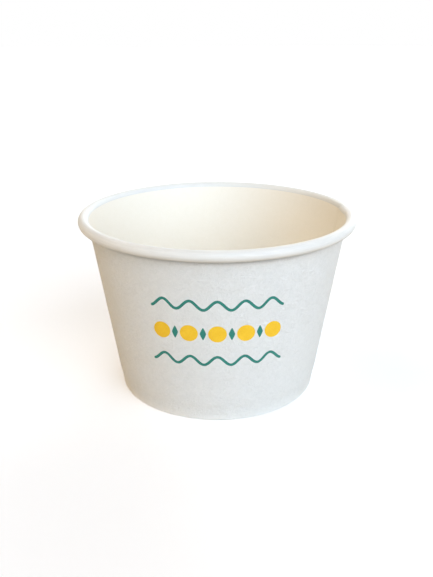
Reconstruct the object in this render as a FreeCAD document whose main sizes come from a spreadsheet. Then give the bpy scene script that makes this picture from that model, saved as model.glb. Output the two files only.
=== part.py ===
"""Paper dessert cup: a conical wall of board with a rolled rim, and a flanged base disc glued into it.

The wall is one sheet of board. It is wrapped round and glued in a side lap, its top edge is rolled
outwards into a curl, and its bottom edge is folded in and up, round the flange of the base disc.
The base disc is a second sheet: a flat floor with a flange turned down at its edge.

Millimetres. +Z is up, the origin is the centre of the ring that the cup stands on, and the front of
the cup faces -Y. A section is drawn in the XZ plane, where x is the radius and y is the height.
"""
import FreeCAD, Part
import math
import os
import Sketcher
from FreeCAD import Placement, Rotation, Vector

SIZES = [
    ("rim_diameter", 96.0, "outside of the rolled rim"),
    ("cup_height", 63.0, "table to the top of the rim"),
    ("base_diameter", 71.0, "outside of the fold that the cup stands on"),
    ("curl_diameter", 3.6, "height of the rolled rim"),
    ("curl_turn", 250.0, "degrees of the curl's outer turn"),
    ("tuck_turn", 140.0, "degrees of the turn tucked inside the curl"),
    ("tuck_gap", 0.1, "air between the tucked turn and the wall"),
    ("wall_board", 0.4, "thickness of the wall's board"),
    ("disc_board", 0.3, "thickness of the base disc's board"),
    ("glue_gap", 0.02, "glue line on each side of the disc's flange"),
    ("fold_radius", 0.1, "inside radius of the fold at the foot"),
    ("floor_height", 6.6, "table to the upper face of the base disc"),
    ("disc_corner", 0.5, "inside radius between the disc and its flange"),
    ("flange_gap", 0.2, "lower edge of the flange to the inside of the fold"),
    ("hem_gap", 0.8, "cut edge of the hem to the start of the disc's corner"),
    ("lap_width", 8.0, "overlap of the glued side seam"),
    ("lap_ramp", 2.5, "width over which the outer layer climbs over the inner one"),
    ("seam_angle", 8.0, "degrees from +X to the cut edge inside the seam"),
]

START, END, CENTRE = range(1, 4)
X_AXIS, Y_AXIS = -1, -2
FULL_TURN = 360
HALF_TURN = 180
BITE = 0.5  # share of the board by which the lap and the step reach past the face that they start on

CURL_RADIUS = "sizes.curl_diameter / 2"
FOLD_OUTSIDE = "(sizes.fold_radius + sizes.wall_board)"
CURL_CENTRE_RADIUS = "(sizes.rim_diameter - sizes.curl_diameter) / 2"
CURL_CENTRE_HEIGHT = "sizes.cup_height - sizes.curl_diameter / 2"
FOLD_CENTRE_RADIUS = f"sizes.base_diameter / 2 - {FOLD_OUTSIDE}"


def make_sheet(doc):
    """The driving sizes, one aliased cell each."""
    sheet = doc.addObject("Spreadsheet::Sheet", "sizes")
    for row, (alias, value, note) in enumerate(SIZES, start=1):
        sheet.set(f"A{row}", alias)
        sheet.set(f"B{row}", str(value))
        sheet.setAlias(f"B{row}", alias)
        sheet.set(f"C{row}", note)
    doc.recompute()
    return sheet


class FirstGuess:
    """Where the section's arcs and lines lie, so that each sketch starts close to its solution."""

    def __init__(self, sheet):
        for alias, _, _ in SIZES:
            setattr(self, alias, float(sheet.get(alias)))
        self.curl_radius = self.curl_diameter / 2
        self.curl_centre = Vector(self.rim_diameter / 2 - self.curl_radius, self.cup_height - self.curl_radius)
        self.fold_outside = self.fold_radius + self.wall_board
        self.fold_centre = Vector(self.base_diameter / 2 - self.fold_outside, self.fold_outside)
        span = self.curl_centre - self.fold_centre
        tilt_to_span = math.acos((self.fold_radius + self.curl_radius) / span.Length)
        self.taper = math.degrees(tilt_to_span - math.atan2(span.y, span.x))
        self.outward = direction(-self.taper)
        self.tuck_radius = self.curl_radius - (self.wall_board + self.tuck_gap) / (
            1 - math.cos(math.radians(self.curl_turn))
        )
        self.curl_end = HALF_TURN - self.taper - self.curl_turn
        self.tuck_centre = self.curl_centre + direction(self.curl_end) * (self.curl_radius - self.tuck_radius)
        flange_slot = self.disc_board + 2 * self.glue_gap
        fold_step = (2 * self.fold_radius - flange_slot) / math.cos(math.radians(self.taper))
        self.hem_centre = self.fold_centre + Vector(fold_step, 0)

    def on_wall(self, height, outside):
        """Point of the wall's outer or inner face at a height."""
        reach = self.fold_outside if outside else self.fold_radius
        start = self.fold_centre + self.outward * reach
        along = Vector(-self.outward.y, self.outward.x)
        return start + along * ((height - start.y) / along.y)


def direction(degrees):
    """Unit vector at an angle in the sketch."""
    return Vector(math.cos(math.radians(degrees)), math.sin(math.radians(degrees)))


def new_sketch(body, name, plane="XZ_Plane"):
    """Empty sketch on one of the body's own origin planes."""
    sketch = body.newObject("Sketcher::SketchObject", name)
    support = next(f for f in body.Origin.OriginFeatures if f.Role == plane)
    sketch.AttachmentSupport = (support, "")
    sketch.MapMode = "FlatFace"
    return sketch


def line(sketch, start, end, construction=False):
    return sketch.addGeometry(Part.LineSegment(start, end), construction)


def arc(sketch, centre, radius, first, last):
    """Arc drawn anticlockwise from one angle to another, in degrees."""
    circle = Part.Circle(centre, Vector(0, 0, 1), radius)
    return sketch.addGeometry(Part.ArcOfCircle(circle, math.radians(first), math.radians(last)))


def circle(sketch, centre, radius):
    """Construction circle."""
    return sketch.addGeometry(Part.Circle(centre, Vector(0, 0, 1), radius), True)


def join(sketch, *pairs):
    """Ends that meet with no kink: each pair is (element, end, element, end)."""
    for pair in pairs:
        sketch.addConstraint(Sketcher.Constraint("Tangent", *pair))


def meet(sketch, *pairs):
    """Points that coincide: each pair is (element, point, element, point)."""
    for pair in pairs:
        sketch.addConstraint(Sketcher.Constraint("Coincident", *pair))


def bind(sketch, name, expression, kind, *places):
    """Dimension that follows the sheet."""
    index = sketch.addConstraint(Sketcher.Constraint(kind, *places, measured(sketch, kind, places)))
    sketch.renameConstraint(index, name)
    sketch.setExpression(f"Constraints.{name}", expression)


def measured(sketch, kind, places):
    """The value that a dimension has in the first guess."""
    geometry = sketch.Geometry[places[0]] if places[0] >= 0 else None
    if kind == "Radius":
        return geometry.Radius
    if kind == "Angle":
        return geometry.LastParameter - geometry.FirstParameter
    first = sketch.getPoint(*places[:2])
    if kind == "Distance":
        edge = sketch.Geometry[places[2]]
        along = (edge.EndPoint - edge.StartPoint).normalize()
        return (first - edge.StartPoint).cross(along).Length
    second = sketch.getPoint(*places[2:])
    return second.x - first.x if kind == "DistanceX" else second.y - first.y


def from_origin(sketch, name, kind, place, expression):
    """Distance along x or y from the origin to a point."""
    bind(sketch, name, expression, kind, X_AXIS, START, *place)


def read_radius(sketch, name, face, height, start):
    """Point on a face of the wall at a height, whose radius other sketches read by name."""
    point = sketch.addGeometry(Part.Point(start), True)
    sketch.addConstraint(Sketcher.Constraint("PointOnObject", point, START, face))
    from_origin(sketch, f"{name}_height", "DistanceY", (point, START), height)
    index = sketch.addConstraint(
        Sketcher.Constraint("DistanceX", X_AXIS, START, point, START, start.x)
    )
    sketch.renameConstraint(index, f"{name}_radius")
    sketch.setDriving(index, False)


def draw_wall_section(body, guess):
    """The wall's board in section: hem, fold at the foot, sloping wall, curl and its tucked turn."""
    sketch = new_sketch(body, "wall_section")
    out_angle = -guess.taper
    in_angle = HALF_TURN - guess.taper
    foot, outside = guess.fold_radius, guess.fold_outside
    curl, tuck, board = guess.curl_radius, guess.tuck_radius, guess.wall_board
    tuck_end = guess.curl_end - guess.tuck_turn

    hem_outer = arc(sketch, guess.hem_centre, outside, in_angle, 270)
    hem_inner = arc(sketch, guess.hem_centre, foot, in_angle, 270)
    fold_outer = arc(sketch, guess.fold_centre, outside, -90, out_angle)
    fold_inner = arc(sketch, guess.fold_centre, foot, -90, out_angle)
    curl_outer = arc(sketch, guess.curl_centre, curl, guess.curl_end, in_angle)
    curl_inner = arc(sketch, guess.curl_centre, curl - board, guess.curl_end, in_angle)
    tuck_outer = arc(sketch, guess.tuck_centre, tuck, tuck_end, guess.curl_end)
    tuck_inner = arc(sketch, guess.tuck_centre, tuck - board, tuck_end, guess.curl_end)

    def end_to_end(first, first_end, second, second_end):
        edge = line(sketch, sketch.getPoint(first, first_end), sketch.getPoint(second, second_end))
        join(sketch, (first, first_end, edge, START), (edge, END, second, second_end))
        return edge

    ground = end_to_end(hem_outer, END, fold_outer, START)
    end_to_end(hem_inner, END, fold_inner, START)
    wall_outer = end_to_end(fold_outer, END, curl_inner, END)
    wall_inner = end_to_end(fold_inner, END, curl_outer, END)
    hem_top = guess.floor_height - guess.disc_board - guess.disc_corner - guess.hem_gap
    rise = guess.on_wall(hem_top, True) - guess.on_wall(guess.fold_outside, True)
    hem_face = line(sketch, sketch.getPoint(hem_outer, START), sketch.getPoint(hem_outer, START) + rise)
    hem_back = line(sketch, sketch.getPoint(hem_inner, START), sketch.getPoint(hem_inner, START) + rise)
    hem_cut = line(sketch, sketch.getPoint(hem_face, END), sketch.getPoint(hem_back, END))
    tuck_cut = line(sketch, sketch.getPoint(tuck_outer, START), sketch.getPoint(tuck_inner, START))

    join(
        sketch,
        (hem_outer, START, hem_face, START),
        (hem_inner, START, hem_back, START),
        (curl_outer, START, tuck_outer, END),
        (curl_inner, START, tuck_inner, END),
    )
    meet(
        sketch,
        (hem_face, END, hem_cut, START),
        (hem_back, END, hem_cut, END),
        (tuck_outer, START, tuck_cut, START),
        (tuck_inner, START, tuck_cut, END),
        (hem_outer, CENTRE, hem_inner, CENTRE),
        (fold_outer, CENTRE, fold_inner, CENTRE),
        (curl_outer, CENTRE, curl_inner, CENTRE),
        (tuck_outer, CENTRE, tuck_inner, CENTRE),
    )
    for constraint in (
        ("Equal", hem_outer, fold_outer),
        ("Equal", hem_inner, fold_inner),
        ("Parallel", hem_face, wall_outer),
        ("Parallel", hem_back, hem_face),
        ("Perpendicular", hem_cut, hem_face),
        ("PointOnObject", ground, START, X_AXIS),
        ("PointOnObject", ground, END, X_AXIS),
        ("PointOnObject", tuck_outer, CENTRE, tuck_cut),
    ):
        sketch.addConstraint(Sketcher.Constraint(*constraint))

    from_origin(sketch, "curl_centre_radius", "DistanceX", (curl_outer, CENTRE), CURL_CENTRE_RADIUS)
    from_origin(sketch, "curl_centre_height", "DistanceY", (curl_outer, CENTRE), CURL_CENTRE_HEIGHT)
    from_origin(sketch, "fold_centre_radius", "DistanceX", (fold_outer, CENTRE), FOLD_CENTRE_RADIUS)
    bind(sketch, "curl_outside", CURL_RADIUS, "Radius", curl_outer)
    bind(sketch, "curl_inside", f"{CURL_RADIUS} - sizes.wall_board", "Radius", curl_inner)
    bind(sketch, "fold_outside", FOLD_OUTSIDE, "Radius", fold_outer)
    bind(sketch, "fold_inside", "sizes.fold_radius", "Radius", fold_inner)
    bind(
        sketch,
        "tuck_outside",
        f"{CURL_RADIUS} - (sizes.wall_board + sizes.tuck_gap) / (1 - cos(sizes.curl_turn * 1deg))",
        "Radius",
        tuck_outer,
    )
    bind(sketch, "curl_turn", "sizes.curl_turn * 1deg", "Angle", curl_outer)
    bind(sketch, "tuck_turn", "sizes.tuck_turn * 1deg", "Angle", tuck_outer)
    from_origin(
        sketch,
        "hem_top",
        "DistanceY",
        (hem_face, END),
        "sizes.floor_height - sizes.disc_board - sizes.disc_corner - sizes.hem_gap",
    )
    bind(
        sketch,
        "flange_slot",
        "sizes.disc_board + 2 * sizes.glue_gap",
        "Distance",
        hem_back,
        END,
        wall_inner,
    )

    lap_foot, lap_head = guess.fold_outside, guess.curl_centre.y
    for name, face, outside, height, expression in (
        ("lap_foot", wall_outer, True, lap_foot, FOLD_OUTSIDE),
        ("lap_head", wall_outer, True, lap_head, CURL_CENTRE_HEIGHT),
        ("step_foot", wall_inner, False, guess.floor_height, "sizes.floor_height"),
        ("step_head", wall_inner, False, lap_head, CURL_CENTRE_HEIGHT),
    ):
        read_radius(sketch, name, face, expression, guess.on_wall(height, outside))
    return sketch


def level_sketch(body, name, height):
    """Sketch square to the axis at a height, with its x axis through the seam's cut edge."""
    sketch = new_sketch(body, name, "XY_Plane")
    sketch.AttachmentOffset = Placement(Vector(), Rotation(Vector(0, 0, 1), 0))
    sketch.setExpression("AttachmentOffset.Base.z", height)
    sketch.setExpression("AttachmentOffset.Rotation.Angle", "sizes.seam_angle * 1deg")
    return sketch


def draw_lap(body, guess, name, height, start):
    """Level section of the lap's outer layer: its cut edge, the overlap and the ramp."""
    sketch = level_sketch(body, name, height)
    top, bottom = start.x + guess.wall_board, start.x - guess.wall_board * BITE
    lap_turn = math.degrees(math.asin(guess.lap_width / top))
    ramp_turn = math.degrees(math.asin(guess.lap_ramp / bottom))
    face = arc(sketch, Vector(), top, -lap_turn, 0)
    root = arc(sketch, Vector(), bottom, -lap_turn, ramp_turn)
    ramp = line(sketch, sketch.getPoint(face, END), sketch.getPoint(root, END))
    cut = line(sketch, sketch.getPoint(root, START), sketch.getPoint(face, START))
    meet(
        sketch,
        (face, CENTRE, X_AXIS, START),
        (root, CENTRE, X_AXIS, START),
        (face, END, ramp, START),
        (ramp, END, root, END),
        (root, START, cut, START),
        (cut, END, face, START),
    )
    sketch.addConstraint(Sketcher.Constraint("PointOnObject", face, END, X_AXIS))
    sketch.addConstraint(Sketcher.Constraint("PointOnObject", X_AXIS, START, cut))
    wall_radius = f"wall_section.Constraints.{name}_radius"
    bind(sketch, "face_radius", f"{wall_radius} + sizes.wall_board * 1mm", "Radius", face)
    bind(sketch, "root_radius", f"{wall_radius} - sizes.wall_board * {BITE}mm", "Radius", root)
    bind(sketch, "overlap", "sizes.lap_width", "DistanceY", face, START, X_AXIS, START)
    from_origin(sketch, "climb", "DistanceY", (root, END), "sizes.lap_ramp")
    return sketch


def draw_step(body, guess, name, height, start):
    """Level section of the hollow beside the inner layer's cut edge, where the outer layer climbs."""
    sketch = level_sketch(body, name, height)
    ramp_start = Vector(start.x - guess.wall_board * BITE, guess.lap_ramp)
    ramp_end = Vector(start.x + guess.wall_board, 0)
    mouth = Vector(start.x - guess.wall_board, 0)
    ramp = line(sketch, ramp_start, ramp_end)
    cut = line(sketch, ramp_end, mouth)
    opening = line(sketch, mouth, ramp_start)
    meet(sketch, (ramp, END, cut, START), (cut, END, opening, START), (opening, END, ramp, START))
    sketch.addConstraint(Sketcher.Constraint("PointOnObject", cut, START, X_AXIS))
    sketch.addConstraint(Sketcher.Constraint("PointOnObject", cut, END, X_AXIS))
    wall_radius = f"wall_section.Constraints.{name}_radius"
    board = "sizes.wall_board * 1mm"
    from_origin(sketch, "step_bottom", "DistanceX", (cut, START), f"{wall_radius} + {board}")
    from_origin(sketch, "step_mouth", "DistanceX", (cut, END), f"{wall_radius} - {board}")
    from_origin(sketch, "ramp_start", "DistanceX", (ramp, START), f"{wall_radius} - {board} * {BITE}")
    from_origin(sketch, "climb", "DistanceY", (ramp, START), "sizes.lap_ramp")
    return sketch


def revolve(body, sketch, name):
    """Full turn of a section about the cup's axis."""
    feature = body.newObject("PartDesign::Revolution", name)
    feature.Profile = sketch
    feature.ReferenceAxis = (sketch, ["V_Axis"])
    feature.Angle = FULL_TURN
    sketch.Visibility = False
    return feature


def loft(body, kind, name, foot, head):
    """Straight loft from a lower section to an upper one, added or cut away."""
    feature = body.newObject(f"PartDesign::{kind}", name)
    feature.Profile = foot
    feature.Sections = [head]
    feature.Ruled = True
    return feature


def make_side_wall(doc, guess):
    """The wall blank: rolled, hemmed and lapped board in one piece."""
    body = doc.addObject("PartDesign::Body", "side_wall")
    revolve(body, draw_wall_section(body, guess), "board")
    doc.recompute()
    lap_foot = draw_lap(body, guess, "lap_foot", FOLD_OUTSIDE, guess.on_wall(guess.fold_outside, True))
    lap_head = draw_lap(
        body, guess, "lap_head", CURL_CENTRE_HEIGHT, guess.on_wall(guess.curl_centre.y, True)
    )
    loft(body, "AdditiveLoft", "lap", lap_foot, lap_head)
    doc.recompute()
    step_foot = draw_step(
        body, guess, "step_foot", "sizes.floor_height", guess.on_wall(guess.floor_height, False)
    )
    step_head = draw_step(
        body, guess, "step_head", CURL_CENTRE_HEIGHT, guess.on_wall(guess.curl_centre.y, False)
    )
    loft(body, "SubtractiveLoft", "step", step_foot, step_head)
    doc.recompute()
    return body


def draw_disc_section(body, guess):
    """The base disc in section: floor, corner and flange, laid against the wall's inner face."""
    sketch = new_sketch(body, "disc_section")
    curl = circle(sketch, guess.curl_centre, guess.curl_radius)
    fold = circle(sketch, guess.fold_centre, guess.fold_radius)
    foot_end = guess.fold_centre + guess.outward * guess.fold_radius
    rim_end = guess.curl_centre - guess.outward * guess.curl_radius
    wall = line(sketch, foot_end, rim_end, construction=True)
    foot_radius = line(sketch, guess.fold_centre, foot_end, construction=True)
    rim_radius = line(sketch, guess.curl_centre, rim_end, construction=True)

    corner_radius = guess.disc_corner + guess.disc_board
    along = Vector(-guess.outward.y, guess.outward.x)
    flange_line = foot_end - guess.outward * guess.glue_gap
    corner_height = guess.floor_height - corner_radius
    corner_start = flange_line - guess.outward * corner_radius
    corner_centre = corner_start + along * ((corner_height - corner_start.y) / along.y)
    out_angle = -guess.taper
    corner_outer = arc(sketch, corner_centre, corner_radius, out_angle, 90)
    corner_inner = arc(sketch, corner_centre, guess.disc_corner, out_angle, 90)
    flange_foot = guess.wall_board + guess.flange_gap
    flange_end = flange_line + along * ((flange_foot - flange_line.y) / along.y)
    flange_back = flange_end - guess.outward * guess.disc_board
    floor_top = line(sketch, Vector(0, guess.floor_height), sketch.getPoint(corner_outer, END))
    floor_under = line(
        sketch,
        Vector(0, guess.floor_height - guess.disc_board),
        sketch.getPoint(corner_inner, END),
    )
    flange_face = line(sketch, flange_end, sketch.getPoint(corner_outer, START))
    flange_inner = line(sketch, flange_back, sketch.getPoint(corner_inner, START))
    flange_cut = line(sketch, flange_end, flange_back)
    axis = line(sketch, Vector(0, guess.floor_height - guess.disc_board), Vector(0, guess.floor_height))

    join(
        sketch,
        (floor_top, END, corner_outer, END),
        (floor_under, END, corner_inner, END),
        (flange_face, END, corner_outer, START),
        (flange_inner, END, corner_inner, START),
    )
    meet(
        sketch,
        (foot_radius, START, fold, CENTRE),
        (foot_radius, END, wall, START),
        (rim_radius, START, curl, CENTRE),
        (rim_radius, END, wall, END),
        (corner_outer, CENTRE, corner_inner, CENTRE),
        (flange_face, START, flange_cut, START),
        (flange_inner, START, flange_cut, END),
        (floor_under, START, axis, START),
        (floor_top, START, axis, END),
    )
    for constraint in (
        ("PointOnObject", wall, START, fold),
        ("PointOnObject", wall, END, curl),
        ("Perpendicular", foot_radius, wall),
        ("Perpendicular", rim_radius, wall),
        ("Parallel", flange_face, wall),
        ("Parallel", flange_inner, wall),
        ("Perpendicular", flange_cut, wall),
        ("Horizontal", floor_top),
        ("Horizontal", floor_under),
        ("PointOnObject", axis, START, Y_AXIS),
        ("PointOnObject", axis, END, Y_AXIS),
    ):
        sketch.addConstraint(Sketcher.Constraint(*constraint))

    from_origin(sketch, "curl_centre_radius", "DistanceX", (curl, CENTRE), CURL_CENTRE_RADIUS)
    from_origin(sketch, "curl_centre_height", "DistanceY", (curl, CENTRE), CURL_CENTRE_HEIGHT)
    from_origin(sketch, "fold_centre_radius", "DistanceX", (fold, CENTRE), FOLD_CENTRE_RADIUS)
    from_origin(sketch, "fold_centre_height", "DistanceY", (fold, CENTRE), FOLD_OUTSIDE)
    bind(sketch, "curl_outside", CURL_RADIUS, "Radius", curl)
    bind(sketch, "fold_inside", "sizes.fold_radius", "Radius", fold)
    bind(sketch, "corner_inside", "sizes.disc_corner", "Radius", corner_inner)
    from_origin(sketch, "floor_height", "DistanceY", (axis, END), "sizes.floor_height")
    bind(sketch, "floor_board", "sizes.disc_board", "DistanceY", axis, START, axis, END)
    from_origin(
        sketch,
        "flange_foot",
        "DistanceY",
        (flange_face, START),
        "sizes.wall_board + sizes.flange_gap",
    )
    bind(sketch, "glue_line", "sizes.glue_gap", "Distance", flange_face, START, wall)
    return sketch


def make_base_disc(doc, guess):
    """The disc: a flat floor drawn down at its edge into the flange that is glued to the wall."""
    body = doc.addObject("PartDesign::Body", "base_disc")
    revolve(body, draw_disc_section(body, guess), "disc")
    doc.recompute()
    return body


def faults(doc):
    """Everything in the document that failed to build, and every sketch that isn't fixed by its sizes."""
    for item in doc.Objects:
        if "Invalid" in item.State or "Error" in item.State:
            yield f"{item.Name}: {item.getStatusString()}"
        if item.isDerivedFrom("Sketcher::SketchObject") and not item.FullyConstrained:
            yield f"{item.Name}: not fully constrained"
        if item.isDerivedFrom("PartDesign::Feature") and (item.Shape.isNull() or not item.Shape.isValid()):
            yield f"{item.Name}: no valid shape"


def main():
    doc = FreeCAD.newDocument("dessert_cup")
    sheet = make_sheet(doc)
    guess = FirstGuess(sheet)
    bodies = [make_side_wall(doc, guess), make_base_disc(doc, guess)]
    doc.recompute()
    found = list(faults(doc))
    if found:
        raise RuntimeError("; ".join(found))

    os.makedirs("parts", exist_ok=True)
    for body in bodies:
        if len(body.Shape.Solids) != 1 or not body.Shape.isValid():
            raise RuntimeError(f"{body.Label}: one valid solid expected")
        body.Shape.exportStep(f"parts/{body.Label}.step")
        print(body.Label, round(body.Shape.Volume, 1), "mm3")


main()
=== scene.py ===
import math

import bmesh
import bpy
import numpy as np
from mathutils import Matrix, Vector


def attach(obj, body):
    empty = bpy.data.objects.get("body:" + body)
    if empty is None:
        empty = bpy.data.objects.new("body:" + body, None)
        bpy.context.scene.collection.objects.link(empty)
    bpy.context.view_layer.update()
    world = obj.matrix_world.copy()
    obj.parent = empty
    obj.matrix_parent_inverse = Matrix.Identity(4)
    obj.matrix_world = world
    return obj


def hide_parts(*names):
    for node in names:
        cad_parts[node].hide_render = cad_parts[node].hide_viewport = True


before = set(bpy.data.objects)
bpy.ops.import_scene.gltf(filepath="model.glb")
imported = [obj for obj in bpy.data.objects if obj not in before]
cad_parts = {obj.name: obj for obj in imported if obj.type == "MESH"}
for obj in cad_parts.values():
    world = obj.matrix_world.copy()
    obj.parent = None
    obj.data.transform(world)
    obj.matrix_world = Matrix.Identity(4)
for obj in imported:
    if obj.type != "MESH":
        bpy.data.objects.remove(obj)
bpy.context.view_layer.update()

# Sizes in millimetres, the same as the solids'.
RIM_DIAMETER = 96.0
CUP_HEIGHT = 63.0
BASE_DIAMETER = 71.0
CURL_RADIUS = 1.8
CURL_TURN = 250.0
TUCK_TURN = 140.0
TUCK_GAP = 0.1
WALL_BOARD = 0.4
DISC_BOARD = 0.3
GLUE_GAP = 0.02
FOLD_INSIDE = 0.1
FOLD_OUTSIDE = FOLD_INSIDE + WALL_BOARD
HEM_TOP = 5.0
FLOOR_HEIGHT = 6.6
DISC_CORNER = 0.5
FLANGE_GAP = 0.2
LAP_WIDTH = 8.0
LAP_RAMP = 2.5
SEAM_ANGLE = math.radians(8.0)

FRONT = math.radians(-90.0)
MM = 0.001


def direction(degrees):
    return np.array([math.cos(math.radians(degrees)), math.sin(math.radians(degrees))])


# The section's centres, in the plane of radius and height.
CURL_CENTRE = np.array([RIM_DIAMETER / 2 - CURL_RADIUS, CUP_HEIGHT - CURL_RADIUS])
FOLD_CENTRE = np.array([BASE_DIAMETER / 2 - FOLD_OUTSIDE, FOLD_OUTSIDE])
SPAN = CURL_CENTRE - FOLD_CENTRE
TAPER = math.degrees(
    math.acos((FOLD_INSIDE + CURL_RADIUS) / np.linalg.norm(SPAN)) - math.atan2(SPAN[1], SPAN[0])
)
OUTWARD = direction(-TAPER)
UPWARD = np.array([-OUTWARD[1], OUTWARD[0]])
FLANGE_SLOT = DISC_BOARD + 2 * GLUE_GAP


def along_wall(start, height):
    """Where the line from a point, parallel to the wall, reaches a height."""
    return start + UPWARD * ((height - start[1]) / UPWARD[1])


def wall_point(height, reach):
    """Point at a height on the wall's line that lies at a reach from the fold's centre."""
    return along_wall(FOLD_CENTRE + OUTWARD * reach, height)


# Sections
OUTER, COATED, EDGE, HEM, RIM = "outer", "coated", "edge", "hem", "rim"
WALL_SKINS = (OUTER, COATED, EDGE, HEM, RIM)
DISC_SKINS = (COATED, EDGE, OUTER)
SAME_POINT = 1e-6

# Heights between which the wall's points lie evenly, and where they start above the floor.
EVEN_FROM, EVEN_TO = 8.0, 56.0
ABOVE_FLOOR = 0.4


def arc(centre, radius, first, last, steps):
    """Points and outward normals of an arc, angles in degrees."""
    angles = np.linspace(first, last, steps + 1)
    normals = np.array([direction(a) for a in angles])
    return centre + normals * radius, normals * np.sign(radius)


def run(start, end, normal, steps):
    """Points of a straight run, all with one normal."""
    share = np.linspace(0, 1, steps + 1)[:, None]
    return start + (end - start) * share, np.repeat([normal], steps + 1, axis=0)


class Section:
    """Outline of a sheet in section: at each point its normal, and the skin of the face that ends there."""

    def __init__(self):
        self.points, self.normals, self.skins = [], [], []

    def add(self, line, skin, flip=False, first_skin=None):
        """Append a line of points. A first skin is for the face between the last line and this one."""
        points, normals = line
        if self.points and np.linalg.norm(self.points[-1] - points[0]) < SAME_POINT:
            points, normals = points[1:], normals[1:]
        self.points.extend(points)
        self.normals.extend(-normals if flip else normals)
        self.skins.extend([first_skin or skin] + [skin] * (len(points) - 1))

    def arrays(self):
        """Points, normals and skins, without the last point where it is the first one again."""
        points, normals, skins = np.array(self.points), np.array(self.normals), self.skins
        if np.linalg.norm(points[0] - points[-1]) < SAME_POINT:
            points, normals, skins = points[:-1], normals[:-1], skins[:-1]
        return points, normals, skins


def wall_section():
    """The wall's board: up the outside from the hem's cut edge, round the curl and down the inside."""
    s = Section()
    in_angle, out_angle = 180 - TAPER, -TAPER
    hem_shift = (2 * FOLD_INSIDE - FLANGE_SLOT) / math.cos(math.radians(TAPER))
    hem_centre = FOLD_CENTRE + np.array([hem_shift, 0])
    hem_foot = hem_centre - OUTWARD * FOLD_OUTSIDE
    hem_face_top = along_wall(hem_foot, HEM_TOP)
    hem_back_top = hem_face_top + OUTWARD * WALL_BOARD
    s.add(run(hem_face_top, hem_foot, -OUTWARD, steps=8), HEM)
    s.add(arc(hem_centre, FOLD_OUTSIDE, in_angle, 270, steps=7), HEM)
    s.add(arc(FOLD_CENTRE, FOLD_OUTSIDE, -90, out_angle, steps=7), OUTER)

    foot, head = FOLD_CENTRE + OUTWARD * FOLD_OUTSIDE, CURL_CENTRE - OUTWARD * (CURL_RADIUS - WALL_BOARD)
    low, high = wall_point(EVEN_FROM, FOLD_OUTSIDE), wall_point(EVEN_TO, FOLD_OUTSIDE)
    for start, end, steps in ((foot, low, 20), (low, high, 24), (high, head, 6)):
        s.add(run(start, end, OUTWARD, steps), OUTER)

    curl_end = in_angle - CURL_TURN
    tuck_radius = CURL_RADIUS - (WALL_BOARD + TUCK_GAP) / (1 - math.cos(math.radians(CURL_TURN)))
    tuck_centre = CURL_CENTRE + direction(curl_end) * (CURL_RADIUS - tuck_radius)
    tuck_end = curl_end - TUCK_TURN
    s.add(arc(CURL_CENTRE, CURL_RADIUS - WALL_BOARD, in_angle, curl_end, steps=16), OUTER, flip=True)
    s.add(arc(tuck_centre, tuck_radius - WALL_BOARD, curl_end, tuck_end, steps=8), OUTER, flip=True)
    s.add(arc(tuck_centre, tuck_radius, tuck_end, curl_end, steps=12), COATED, first_skin=EDGE)
    s.add(arc(CURL_CENTRE, CURL_RADIUS, curl_end, in_angle, steps=44), RIM)

    head, foot = CURL_CENTRE - OUTWARD * CURL_RADIUS, FOLD_CENTRE + OUTWARD * FOLD_INSIDE
    high, low = wall_point(EVEN_TO, FOLD_INSIDE), wall_point(FLOOR_HEIGHT + ABOVE_FLOOR, FOLD_INSIDE)
    for start, end, steps in ((head, high, 6), (high, low, 24), (low, foot, 6)):
        s.add(run(start, end, -OUTWARD, steps), COATED)
    s.add(arc(FOLD_CENTRE, FOLD_INSIDE, out_angle, -90, steps=3), COATED, flip=True)
    s.add(arc(hem_centre, FOLD_INSIDE, 270, in_angle, steps=3), COATED, flip=True)
    s.add(run(hem_centre - OUTWARD * FOLD_INSIDE, hem_back_top, OUTWARD, steps=4), COATED)
    s.add(run(hem_back_top, hem_face_top, UPWARD, steps=1), EDGE)
    return s.arrays()


def disc_section():
    """The base disc's board: out along the floor, down the flange, up again and back underneath."""
    s = Section()
    up = np.array([0.0, 1.0])
    corner = DISC_CORNER + DISC_BOARD
    flange_line = FOLD_CENTRE + OUTWARD * (FOLD_INSIDE - GLUE_GAP)
    centre = along_wall(flange_line - OUTWARD * corner, FLOOR_HEIGHT - corner)
    foot = along_wall(flange_line, WALL_BOARD + FLANGE_GAP)
    inner_foot = foot - OUTWARD * DISC_BOARD
    s.add(run(np.array([0.0, FLOOR_HEIGHT]), centre + up * corner, up, steps=22), COATED)
    s.add(arc(centre, corner, 90, -TAPER, steps=10), COATED)
    s.add(run(centre + OUTWARD * corner, foot, OUTWARD, steps=5), COATED)
    s.add(run(foot, inner_foot, -UPWARD, steps=1), EDGE)
    s.add(run(inner_foot, centre + OUTWARD * DISC_CORNER, -OUTWARD, steps=5), OUTER)
    s.add(arc(centre, DISC_CORNER, -TAPER, 90, steps=8), OUTER, flip=True)
    s.add(run(centre + up * DISC_CORNER, np.array([0.0, FLOOR_HEIGHT - DISC_BOARD]), -up, steps=22), OUTER)
    return s.arrays()


# Unevenness of the board, in millimetres
RIPPLES = (  # reach, waves round the cup, turn, and more turn for each millimetre up
    (0.035, 3, 0.4, 0.02),
    (0.022, 7, 1.9, -0.03),
    (0.014, 13, 0.7, 0.05),
    (0.008, 23, 2.6, 0.0),
)
RIM_STIFFNESS = 0.65
OVAL = 0.11
RIM_WAVE = 0.05
HEM_PRESS = 0.16
HEM_GROOVE = 0.07
GROOVE_HEIGHT, GROOVE_WIDTH = 5.5, 0.8


def smooth(x):
    """0 below 0, 1 above 1, and an even rise between them."""
    x = np.clip(x, 0, 1)
    return x * x * (3 - 2 * x)


def rise(place, start, width):
    """0 up to the start and 1 past the width that follows it."""
    return smooth((place - start) / width)


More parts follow.
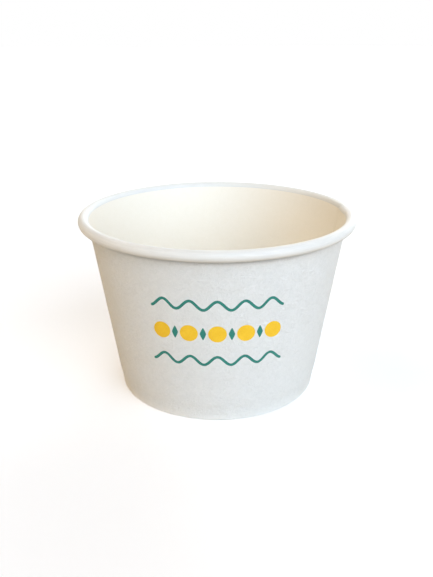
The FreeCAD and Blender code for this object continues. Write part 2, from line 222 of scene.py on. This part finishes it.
def sag(angle, height):
    """The board's slight unevenness: how far a point at that place moves out and up, in millimetres."""
    ripple = sum(
        reach * np.sin(waves * angle + turn + height * twist) for reach, waves, turn, twist in RIPPLES
    )
    free = rise(height, 7, 6) * (1 - RIM_STIFFNESS * rise(height, 56, 4))
    oval = OVAL * (np.cos(2 * angle + 0.9) - 1) * rise(height, 12, 45)
    press = -HEM_PRESS * (1 - rise(height, 4.6, 1.1)) * rise(height, -0.5, 1.5)
    groove = -HEM_GROOVE * np.exp(-(((height - GROOVE_HEIGHT) / GROOVE_WIDTH) ** 2))
    wave = np.sin(2 * angle + 2.1) + 0.4 * np.sin(5 * angle) - 1.4
    return ripple * free + oval + press + groove, RIM_WAVE * wave * rise(height, 40, 20)


# Meshes
SHARP_ANGLE = 0.6


def ring(reach, angle, height):
    """Points in metres from reaches, angles and heights round the axis."""
    return np.column_stack([reach * np.cos(angle), reach * np.sin(angle), height]) * MM


def round_faces(turns, count, closed):
    """Faces round a sheet of turns rings with count points each: ring, point that it ends at, corners."""
    for j in range(turns):
        k = (j + 1) % turns
        for i in range(count if closed else count - 1):
            m = (i + 1) % count
            yield j, m, (j * count + i, k * count + i, k * count + m, j * count + m)


def mesh_object(name, vertices, faces, materials, face_materials):
    mesh = bpy.data.meshes.new(name)
    mesh.from_pydata([tuple(v) for v in vertices], [], faces)
    for material in materials:
        mesh.materials.append(material)
    mesh.polygons.foreach_set("material_index", face_materials)
    mesh.polygons.foreach_set("use_smooth", [True] * len(mesh.polygons))
    bm = bmesh.new()
    bm.from_mesh(mesh)
    bmesh.ops.remove_doubles(bm, verts=bm.verts, dist=1e-7)
    bmesh.ops.dissolve_degenerate(bm, edges=bm.edges, dist=1e-8)
    bm.to_mesh(mesh)
    bm.free()
    mesh.set_sharp_from_angle(angle=SHARP_ANGLE)
    piece = bpy.data.objects.new(name, mesh)
    bpy.context.scene.collection.objects.link(piece)
    return piece


# Wall
SEAM_SWELL = 0.18
SEAM_SWELL_INSIDE = 0.36
SWELL_RUN = 2.5
BESIDE_LAP = 0.7
PAST_RAMP = 0.55
PLAIN_COLUMNS = (7.5, 343.5, 333)  # first and last turn from the seam in degrees, and how many


def lap_columns():
    """Round the cup: (place across the seam in mm or None, turn from the seam, outer rise, inner rise)."""
    columns = [(-LAP_WIDTH - BESIDE_LAP, None, 0.0, 0.0), (-LAP_WIDTH, None, 0.0, 0.0)]
    for place in np.linspace(-LAP_WIDTH, 0, 10):
        columns.append((place, None, 1.0, 0.0))
    for place in np.linspace(0, LAP_RAMP, 9):
        share = 1 - place / LAP_RAMP
        climb = float(0.4 * smooth(share) + 0.6 * share)
        columns.append((place, None, climb, climb))
    columns.append((LAP_RAMP + PAST_RAMP, None, 0.0, 0.0))
    for turn in np.linspace(*PLAIN_COLUMNS):
        columns.append((None, math.radians(turn), 0.0, 0.0))
    return columns


def lap_shares(points, normals, skins):
    """How much each point of the wall's section takes part in the lap: in the outer layer, in the step
    inside, and in the swelling on the curl's outside and inside."""
    radius, height = points.T
    facing_out = normals[:, 0]
    curl_reach, curl_height = CURL_CENTRE
    outer = np.array([skin == OUTER for skin in skins])
    coated = np.array([skin in (COATED, RIM) for skin in skins])
    # The curl's hollow takes no lap: there the outer layer is left out.
    in_hollow = outer & (height > curl_height - 1.0) & (facing_out < 0.9)
    below_curl = 1 - rise(height, curl_height - 1.2, 1.0)
    layer = np.where(outer & ~in_hollow, np.maximum(facing_out, 0) * below_curl, 0)
    on_curl = coated & (radius > curl_reach - CURL_RADIUS * 0.99) & (height > curl_height - CURL_RADIUS)
    curl_angle = np.degrees(np.arctan2(height - curl_height, radius - curl_reach))
    step = np.where(on_curl, rise(curl_angle, -90, 60), 1.0)
    step = np.where(coated & (height >= FLOOR_HEIGHT), step, 0.0)
    swell = np.where(on_curl & (radius > curl_reach), np.maximum(facing_out, 0), 0.0)
    swell_inside = np.where(on_curl & (radius <= curl_reach), np.maximum(-facing_out, 0), 0.0)
    return layer, step, swell, swell_inside


def build_wall(papers):
    points, normals, skins = wall_section()
    layer, step, swell, swell_inside = lap_shares(points, normals, skins)
    radius, height = points.T
    columns = lap_columns()
    rings = []
    for place, turn, outer_rise, inner_rise in columns:
        if place is None:
            angle = np.full(len(points), SEAM_ANGLE + turn)
        else:
            angle = SEAM_ANGLE + np.arcsin(place / radius)
        shift = -step * inner_rise * WALL_BOARD
        out = radius + layer * outer_rise * WALL_BOARD + shift * normals[:, 0]
        up = height + shift * normals[:, 1]
        if outer_rise == 1.0 and inner_rise == 0.0:
            grown = rise(place, -LAP_WIDTH, SWELL_RUN)
            out += swell * SEAM_SWELL * grown - swell_inside * SEAM_SWELL_INSIDE * grown
        sag_out, sag_up = sag(angle, height)
        rings.append(ring(out + sag_out, angle, up + sag_up))
    faces, indices = [], []
    for j, m, corners in round_faces(len(rings), len(points), closed=True):
        place, next_place = columns[j][0], columns[(j + 1) % len(columns)][0]
        cut = place is not None and place == next_place
        faces.append(corners)
        indices.append(WALL_SKINS.index(EDGE if cut else skins[m]))
    materials = [papers[skin] for skin in WALL_SKINS]
    return mesh_object("cup_wall", np.concatenate(rings), faces, materials, indices)


# Base disc
DISC_TURNS = 360
DISC_REACH = 35
DISC_DISH = 0.16
DISC_WAVE = 0.035
DISC_DROP = 0.03
PLEAT = 0.022


def build_disc(papers):
    points, _, skins = disc_section()
    radius, height = points.T
    near_edge = rise(radius, 30, 5)
    dish = -DISC_DISH * (1 - (radius / DISC_REACH) ** 2) * (1 - near_edge)
    underneath = np.array([skin == OUTER for skin in skins])
    rings = []
    for turn in np.linspace(0, 2 * math.pi, DISC_TURNS + 1)[:-1]:
        angle = np.full(len(points), turn)
        waves = DISC_WAVE * np.sin(3 * turn + radius * 0.12) * (radius / DISC_REACH) * (1 - near_edge)
        pleat = PLEAT * near_edge * (np.sin(90 * turn) * 0.6 + np.sin(61 * turn + 1) * 0.4)
        out = radius + sag(angle, height)[0] * near_edge
        up = height + dish + waves - DISC_DROP + np.where(underneath, pleat, 0) * 0.6
        rings.append(ring(out, angle, up))
    faces, indices = [], []
    for _, m, corners in round_faces(DISC_TURNS, len(points), closed=False):
        faces.append(corners)
        indices.append(DISC_SKINS.index(skins[m]))
    materials = [papers[skin] for skin in DISC_SKINS]
    return mesh_object("cup_floor", np.concatenate(rings), faces, materials, indices)


# Materials
class Nodes:
    """Adds shader nodes to a tree and links them."""

    def __init__(self, tree):
        self.tree = tree

    def add(self, kind, inputs=None, **settings):
        node = self.tree.nodes.new(kind)
        for key, value in settings.items():
            setattr(node, key, value)
        for key, value in (inputs or {}).items():
            self.feed(node.inputs[key], value)
        return node

    def feed(self, socket, value):
        if isinstance(value, bpy.types.NodeSocket):
            self.tree.links.new(value, socket)
        else:
            socket.default_value = value


class Surface(Nodes):
    """Material with a principled shader, whose sockets are set by name."""

    def __init__(self, name):
        self.material = bpy.data.materials.new(name)
        self.material.use_nodes = True
        super().__init__(self.material.node_tree)
        self.shader = self.tree.nodes["Principled BSDF"]

    def set(self, **values):
        for key, value in values.items():
            self.feed(self.shader.inputs[key.replace("_", " ")], value)


def srgb(red, green, blue):
    """Linear colour of an sRGB one given in 0 to 255."""
    def linear(c):
        c /= 255
        return c / 12.92 if c <= 0.04045 else ((c + 0.055) / 1.055) ** 2.4
    return (linear(red), linear(green), linear(blue), 1.0)


def calculated(n, operation, *values):
    return n.add("ShaderNodeMath", dict(enumerate(values)), operation=operation).outputs[0]


def scaled(n, value, factor):
    return calculated(n, "MULTIPLY", value, factor)


def blended(n, first, second, share):
    """Mean of two values, the second with the share given."""
    return calculated(n, "ADD", scaled(n, first, 1 - share), scaled(n, second, share))


def mapped(n, value, low, high, to_low=0.0, to_high=1.0):
    """Value turned from one range into another."""
    ranges = {"From Min": low, "From Max": high, "To Min": to_low, "To Max": to_high}
    return n.add("ShaderNodeMapRange", {"Value": value, **ranges}).outputs["Result"]


def noise(n, coordinates, size_mm, detail=2.0, roughness=0.5, distortion=0.0):
    """Noise whose blotches are about size_mm across."""
    return n.add(
        "ShaderNodeTexNoise",
        {
            "Vector": coordinates,
            "Scale": 1 / (size_mm * MM),
            "Detail": detail,
            "Roughness": roughness,
            "Distortion": distortion,
        },
    ).outputs["Fac"]


def ramp(n, value, low, high, low_colour, high_colour):
    node = n.add("ShaderNodeValToRGB", {"Fac": value})
    first, last = node.color_ramp.elements
    first.position, first.color = low, low_colour
    last.position, last.color = high, high_colour
    return node.outputs["Color"]


def mixed(n, share, first, second):
    """Colour between two others."""
    return n.add("ShaderNodeMix", {0: share, 6: first, 7: second}, data_type="RGBA").outputs[2]


def relief(n, height, depth_mm):
    """Normal of a surface with that relief."""
    bump = n.add("ShaderNodeBump", {"Height": height, "Strength": 1.0, "Distance": depth_mm * MM})
    return bump.outputs["Normal"]


def seen_ray(n):
    """1 for a ray that shows the background itself, in sight, mirrored or through glass, and else 0."""
    path = n.add("ShaderNodeLightPath").outputs
    reflected = calculated(n, "MAXIMUM", path["Is Glossy Ray"], path["Is Transmission Ray"])
    return calculated(n, "MAXIMUM", path["Is Camera Ray"], reflected)


def painted_shading_by_height(n, place, colour, start_mm, end_mm, strength, tint):
    """Colour with painted light or shade, turning towards the tint from one height to another, slowly at
    first.
    """
    height = n.add("ShaderNodeSeparateXYZ", {"Vector": place}).outputs["Z"]
    share = calculated(n, "POWER", mapped(n, height, start_mm * MM, end_mm * MM), 2.0)
    return mixed(n, scaled(n, share, strength), colour, tint)


def turn_about_axis(n, place):
    """A point's coordinates and its angle round the cup's axis, in radians."""
    parts = n.add("ShaderNodeSeparateXYZ", {"Vector": place}).outputs
    return parts, calculated(n, "ARCTAN2", parts["Y"], parts["X"])


def knurl(n, place, ridges):
    """Upright ridges round the cup, as the roller presses them into the hem."""
    _, turn = turn_about_axis(n, place)
    wave = calculated(n, "SINE", scaled(n, turn, float(ridges)))
    return calculated(n, "ADD", scaled(n, wave, 0.5), 0.5)


def rolled(n, place, along_mm, across_mm):
    """Streaks that run round the cup, as rolling leaves them."""
    parts, turn = turn_about_axis(n, place)
    flat = n.add("ShaderNodeCombineXYZ", {"X": parts["X"], "Y": parts["Y"]}).outputs["Vector"]
    radius = n.add("ShaderNodeVectorMath", {0: flat}, operation="LENGTH").outputs["Value"]
    along = scaled(n, turn, RIM_DIAMETER / 2 * MM * across_mm / along_mm)
    spot = n.add("ShaderNodeCombineXYZ", {"X": radius, "Y": along, "Z": parts["Z"]}).outputs["Vector"]
    return noise(n, spot, across_mm)


FLOCK_SIZE = 1.7
FIBRE_SIZE = 0.8
FIBRE_SHARE = 0.65
STREAK_LENGTH, STREAK_WIDTH = 7.0, 0.45
RIDGE_SHARE = 0.6
ROUGHNESS_SPREAD = 0.05


def paper(name, colours, roughness, depth_mm, coat=0.0, turns=(), streaks=0.0, ridges=0):
    """Board: fibres and flocks in colour and relief. The colours are the light and the dark one."""
    n = Surface(name)
    light, dark = colours
    place = n.add("ShaderNodeTexCoord").outputs["Object"]
    flocks = noise(n, place, FLOCK_SIZE, detail=3.0, roughness=0.6)
    fibres = noise(n, place, FIBRE_SIZE, detail=3.0, roughness=0.7, distortion=1.2)
    height = blended(n, flocks, fibres, FIBRE_SHARE)
    if streaks:
        height = blended(n, height, rolled(n, place, STREAK_LENGTH, STREAK_WIDTH), streaks)
    colour = ramp(n, height, 0.30, 0.70, dark, light)
    # Painted light and shade by height, such as the shade under the curl and the light near the foot.
    for turn in turns:
        colour = painted_shading_by_height(n, place, colour, *turn)
    rough = mapped(n, fibres, 0.3, 0.7, roughness - ROUGHNESS_SPREAD, roughness + ROUGHNESS_SPREAD)
    if ridges:
        height = blended(n, height, knurl(n, place, ridges), RIDGE_SHARE)
    n.set(Base_Color=colour, Roughness=rough, Normal=relief(n, height, depth_mm))
    n.set(Specular_IOR_Level=0.35)
    if coat:
        n.set(Coat_Weight=coat, Coat_Roughness=0.35)
    return n.material


# Painted light and shade as turns of a colour by height: start and end in millimetres, strength and tint
# Painted shade: the outside darkens just below the curl, where the rim's overhang shades the wall.
CREASE_PAINTED_SHADE = (57.0, 58.8, 0.62, srgb(44, 53, 62))
# Painted light: the outside turns lighter and cooler towards the foot, as if lit by light thrown up from
# the floor.
FOOT_PAINTED_LIGHT = (5.4, 0.0, 0.85, srgb(250, 254, 255))
# Painted shade: the curl's paper darkens on its underside, which faces down away from the light.
UNDER_RIM_PAINTED_SHADE = (60.9, 59.3, 0.36, srgb(80, 88, 96))

# Light and dark colour of each board
BARE_BOARD = (srgb(241, 245, 247), srgb(228, 233, 235))
COATED_BOARD = (srgb(246, 242, 233), srgb(242, 238, 227))
ROLLED_BOARD = (srgb(233, 234, 232), srgb(221, 223, 222))
CUT_BOARD = (srgb(222, 212, 192), srgb(192, 180, 156))

papers = {
    OUTER: paper("outside_paper", BARE_BOARD, 0.85, 0.70, turns=(CREASE_PAINTED_SHADE, FOOT_PAINTED_LIGHT)),
    COATED: paper("coated_paper", COATED_BOARD, 0.45, 0.04, coat=0.15),
    RIM: paper("rim_paper", ROLLED_BOARD, 0.5, 0.14, coat=0.1, turns=(UNDER_RIM_PAINTED_SHADE,), streaks=0.7),
    EDGE: paper("cut_board", CUT_BOARD, 0.9, 0.08),
    HEM: paper("hem_paper", BARE_BOARD, 0.85, 0.35, ridges=116),
}

wall = build_wall(papers)
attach(wall, "root")
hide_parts("side_wall")

disc = build_disc(papers)
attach(disc, "root")
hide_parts("base_disc")

# Print: a plain band of waves, discs and lozenges on the front
INK_LIFT = 0.025
INK_FOOT = -0.03
BAND_MIDDLE = 34.0
WAVE_OFFSET = 10.0
WAVE_HALF_LENGTH = 21.6
WAVE_SWING = 1.5
WAVE_PITCH = 8.64
WAVE_WIDTH = 0.95
WAVE_END = 0.004
DISC_SPACING = 9.0
LOZENGE_POWER = 1.15


def on_front(along, height, lift):
    """Point on the outside of the wall, along millimetres to the right of the middle of the front."""
    radius = wall_point(height, FOLD_OUTSIDE)[0]
    angle = FRONT + along / radius
    sag_out, sag_up = sag(angle, height)
    reach = radius + sag_out + lift
    return (reach * math.cos(angle) * MM, reach * math.sin(angle) * MM, (height + sag_up) * MM)


def ink_wave(name, middle, material):
    """Wavy printed line with round ends."""
    half = WAVE_WIDTH / 2
    straight = WAVE_HALF_LENGTH - half
    bend = np.linspace(0, math.pi / 2, 5)
    places = np.concatenate([
        -WAVE_HALF_LENGTH + half * (1 - np.cos(bend[:-1])),
        np.linspace(-straight, straight, 200),
        straight + half * np.sin(bend[1:]),
    ])
    across = ((-1, INK_FOOT), (-1, INK_LIFT), (0, INK_LIFT), (1, INK_LIFT), (1, INK_FOOT))
    vertices, faces = [], []
    for x in places:
        wave = 2 * math.pi * x / WAVE_PITCH
        y = middle + WAVE_SWING * math.cos(wave)
        slope = -WAVE_SWING * 2 * math.pi / WAVE_PITCH * math.sin(wave)
        aside = np.array([-slope, 1.0]) / math.hypot(1.0, slope)
        past = max(abs(x) - straight, 0)
        reach = math.sqrt(max(half * half - past * past, 0)) + WAVE_END
        for share, lift in across:
            vertices.append(on_front(x + aside[0] * reach * share, y + aside[1] * reach * share, lift))
    count = len(across)
    for i in range(len(places) - 1):
        for a in range(i * count, i * count + count - 1):
            faces.append((a, a + count, a + count + 1, a + 1))
    return mesh_object(name, vertices, faces, [material], [0] * len(faces))


def ink_spots(name, spots, outline, material):
    """Printed spots of one outline, given as reach at a turn, filled in rings."""
    steps = 48
    levels = ((0.35, INK_LIFT), (0.7, INK_LIFT), (1.0, INK_LIFT), (1.0, INK_FOOT))
    vertices, faces = [], []
    for x, y in spots:
        start = len(vertices)
        vertices.append(on_front(x, y, INK_LIFT))
        for share, lift in levels:
            for k in range(steps):
                turn = 2 * math.pi * k / steps
                reach = outline(turn) * share
                vertices.append(on_front(x + reach * math.cos(turn), y + reach * math.sin(turn), lift))
        for k in range(steps):
            following = (k + 1) % steps
            faces.append((start, start + 1 + k, start + 1 + following))
            for level in range(len(levels) - 1):
                a = start + 1 + level * steps
                faces.append((a + k, a + steps + k, a + steps + following, a + following))
    return mesh_object(name, vertices, faces, [material], [0] * len(faces))


def round_spot(radius):
    return lambda turn: radius


def lozenge(half_width, half_height):
    """Lozenge with slightly rounded corners."""
    def reach(turn):
        across, up = abs(math.cos(turn)) / half_width, abs(math.sin(turn)) / half_height
        return (across ** LOZENGE_POWER + up ** LOZENGE_POWER) ** (-1 / LOZENGE_POWER)
    return reach


def ink(name, light, dark):
    """Matte ink that lies a little unevenly on the board."""
    n = Surface(name)
    place = n.add("ShaderNodeTexCoord").outputs["Object"]
    grain = noise(n, place, 0.5, detail=3.0, roughness=0.6)
    cloud = noise(n, place, 3.5)
    colour = ramp(n, blended(n, grain, cloud, 0.5), 0.32, 0.66, dark, light)
    n.set(Base_Color=colour, Roughness=0.62, Normal=relief(n, grain, 0.05))
    n.set(Specular_IOR_Level=0.4)
    return n.material


teal = ink("teal_ink", srgb(44, 134, 122), srgb(34, 117, 107))
yellow = ink("yellow_ink", srgb(247, 204, 52), srgb(238, 190, 38))

discs = [(DISC_SPACING * k, BAND_MIDDLE) for k in range(-2, 3)]
between = [(DISC_SPACING * (k + 0.5), BAND_MIDDLE) for k in range(-2, 2)]
for piece in (
    ink_wave("wave_upper", BAND_MIDDLE + WAVE_OFFSET, teal),
    ink_wave("wave_lower", BAND_MIDDLE - WAVE_OFFSET, teal),
    ink_spots("yellow_discs", discs, round_spot(2.9), yellow),
    ink_spots("teal_lozenges", between, lozenge(1.0, 2.3), teal),
):
    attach(piece, "root")

# Floor: nearly white to the eye and in reflections, and warm in the light that it throws back
FLOOR_WARM, FLOOR_PALE = srgb(210, 189, 160), srgb(232, 234, 238)
FLOOR_GLOW = 0.28

floor_mesh = bpy.data.meshes.new("floor")
floor_mesh.from_pydata([(-3, -3, 0), (3, -3, 0), (3, 5, 0), (-3, 5, 0)], [], [(0, 1, 2, 3)])
floor = bpy.data.objects.new("floor", floor_mesh)
bpy.context.scene.collection.objects.link(floor)
n = Surface("floor")
seen = seen_ray(n)
n.set(Base_Color=mixed(n, seen, FLOOR_WARM, FLOOR_PALE), Roughness=0.9)
n.set(Emission_Color=(0.96, 0.98, 1.0, 1.0))
n.set(Emission_Strength=scaled(n, seen, FLOOR_GLOW))
floor_mesh.materials.append(n.material)

# World: white to the eye and in reflections, and a dim warm surrounding for the light
world = bpy.data.worlds.new("studio")
bpy.context.scene.world = world
world.use_nodes = True
n = Nodes(world.node_tree)
dim = world.node_tree.nodes["Background"]
n.feed(dim.inputs["Color"], (1.0, 0.9, 0.75, 1.0))
n.feed(dim.inputs["Strength"], 0.02)
white = n.add("ShaderNodeBackground", {"Color": (1.0, 1.0, 1.0, 1.0), "Strength": 1.0})
either = n.add("ShaderNodeMixShader", {0: seen_ray(n), 1: dim.outputs[0], 2: white.outputs[0]})
n.feed(world.node_tree.nodes["World Output"].inputs["Surface"], either.outputs[0])

# Lamps: name, direction that the light comes from, strength and colour
LAMPS = (
    ("key", (0.42, -0.9, 0.45), 1.65, (0.78, 0.88, 1.0)),
    ("side", (0.7, -0.7, 0.55), 1.06, (0.78, 0.88, 1.0)),
    ("front", (0.1, -1.0, 0.4), 0.78, (0.81, 0.92, 1.0)),
    ("back", (0.8, 0.9, 0.6), 0.70, (1.0, 0.95, 0.88)),
    ("behind", (0.25, 1.0, 0.25), 1.60, (0.92, 0.97, 1.0)),
    ("top", (0.0, 0.0, 1.0), 0.30, (1.0, 0.97, 0.95)),
    ("left", (-1.0, 0.0, 0.9), 1.22, (1.0, 0.69, 0.36)),
)
LAMP_WIDTH = math.radians(60)

for name, source, level, colour in LAMPS:
    light = bpy.data.lights.new(name, "SUN")
    light.energy = level
    light.color = colour
    light.angle = LAMP_WIDTH
    lamp = bpy.data.objects.new(name, light)
    bpy.context.scene.collection.objects.link(lamp)
    lamp.rotation_euler = (-Vector(source)).to_track_quat("-Z", "Y").to_euler()

# Camera: the photograph's, with its focal length in pixels of a frame 577 high
PITCH, YAW, ROLL = 0.3688, -0.0012, -0.0034
CAMERA_PLACE = (0, -0.22843, 0.12179)
FOCAL_PIXELS, FRAME_PIXELS = 671.0, 577
SENSOR = 36.0


def turned(first, second, angle):
    """Two square directions, the first turned towards the second and the second away from the first."""
    c, s = math.cos(angle), math.sin(angle)
    return first * c + second * s, second * c - first * s


ahead = Vector((0, math.cos(PITCH), -math.sin(PITCH)))
above = Vector((0, math.sin(PITCH), math.cos(PITCH)))
right = Vector((1, 0, 0))
ahead, right = turned(ahead, right, YAW)
right, above = turned(right, above, ROLL)
camera_data = bpy.data.cameras.new("camera")
camera_data.sensor_width = SENSOR
camera_data.lens = FOCAL_PIXELS / FRAME_PIXELS * SENSOR
camera_data.clip_start = 0.005
camera = bpy.data.objects.new("camera", camera_data)
bpy.context.scene.collection.objects.link(camera)
camera_matrix = Matrix((right, above, -ahead)).transposed().to_4x4()
camera_matrix.translation = Vector(CAMERA_PLACE)
camera.matrix_world = camera_matrix
bpy.context.scene.camera = camera

bpy.context.scene.view_settings.view_transform = "Standard"
